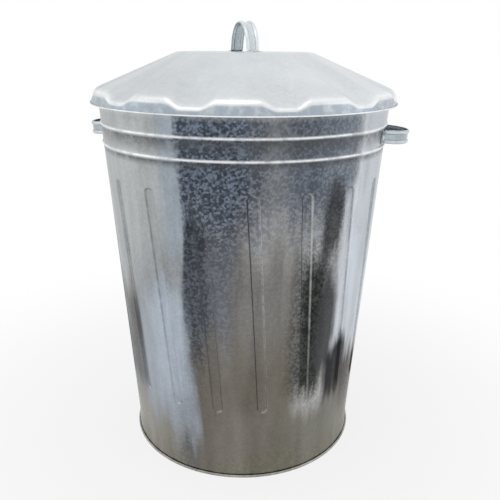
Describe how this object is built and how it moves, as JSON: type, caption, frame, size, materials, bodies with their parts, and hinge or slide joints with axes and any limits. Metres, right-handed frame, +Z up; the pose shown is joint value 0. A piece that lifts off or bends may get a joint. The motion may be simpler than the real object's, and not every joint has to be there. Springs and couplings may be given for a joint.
{
  "type": "lidded metal bin",
  "caption": "Round tapering galvanized steel bin with pressed ribs, swaged beads, strap side handles and a loose fluted lid with a strap handle.",
  "frame": {"origin": "centre of the base, on the floor", "axes": "+Z up along the bin's axis, -X and +X through the two side handles, front towards -Y"},
  "size_m": [0.5362, 0.4948, 0.7125],
  "materials": {
    "body_sheet": "hot-dip galvanized sheet with a fine mottled spangle, semi-matt",
    "base_sheet": "hot-dip galvanized sheet, duller, scuffed where it meets the floor",
    "lid_sheet": "pale hot-dip galvanized pressing, soft sheen",
    "handle_strap": "bright zinc-coated pressed strap",
    "drawn_wire": "plain drawn wire",
    "rivets": "zinc-plated rivets"
  },
  "bodies": {
    "bin": {"body_wall": "body_sheet", "rim_wire": "drawn_wire", "base_pan": "base_sheet", "right_handle": "handle_strap", "right_handle_rivets": "rivets", "left_handle": "handle_strap", "left_handle_rivets": "rivets"},
    "lid": {"lid_pressing": "lid_sheet", "lid_handle": "handle_strap", "lid_handle_rivets": "rivets"}
  },
  "joints": [
    {"name": "lid_lift", "type": "slide", "parent": "bin", "child": "lid", "axis": [0, 0, 1], "range_m": [0, 0.3]}
  ]
}
